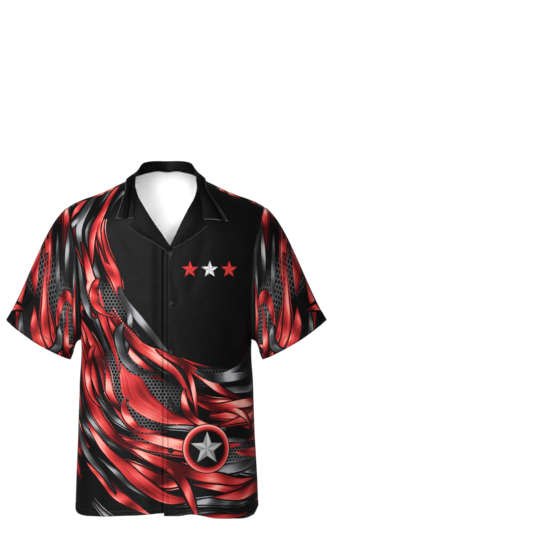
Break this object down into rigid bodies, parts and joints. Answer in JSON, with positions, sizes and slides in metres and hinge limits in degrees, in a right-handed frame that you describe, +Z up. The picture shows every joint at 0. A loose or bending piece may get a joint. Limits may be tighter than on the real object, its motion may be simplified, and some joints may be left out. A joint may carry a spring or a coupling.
{
  "type": "bowling shirt",
  "caption": "Short-sleeved camp-collar bowling shirt with a button front, filled out as when worn and empty inside.",
  "frame": {"origin": "base of the neck, midway between the shoulders, where the wearer's neck and shoulders hold the shirt", "axes": "+Z up towards the collar, the front faces -Y, +X towards the wearer's left"},
  "size_m": [0.704, 0.2563, 0.7817],
  "materials": {
    "printed_cloth": "satin polyester with a red, grey and black print",
    "plain_cloth": "satin black polyester",
    "button_plastic": "polished dark grey"
  },
  "bodies": {
    "root": {"back": "printed_cloth", "right_front": "printed_cloth", "left_front": "printed_cloth", "right_sleeve": "printed_cloth", "left_sleeve": "printed_cloth", "collar": "plain_cloth", "right_lapel": "plain_cloth", "left_lapel": "plain_cloth", "button_1": "button_plastic", "button_2": "button_plastic", "button_3": "button_plastic", "button_4": "button_plastic", "button_5": "button_plastic"}
  },
  "joints": []
}
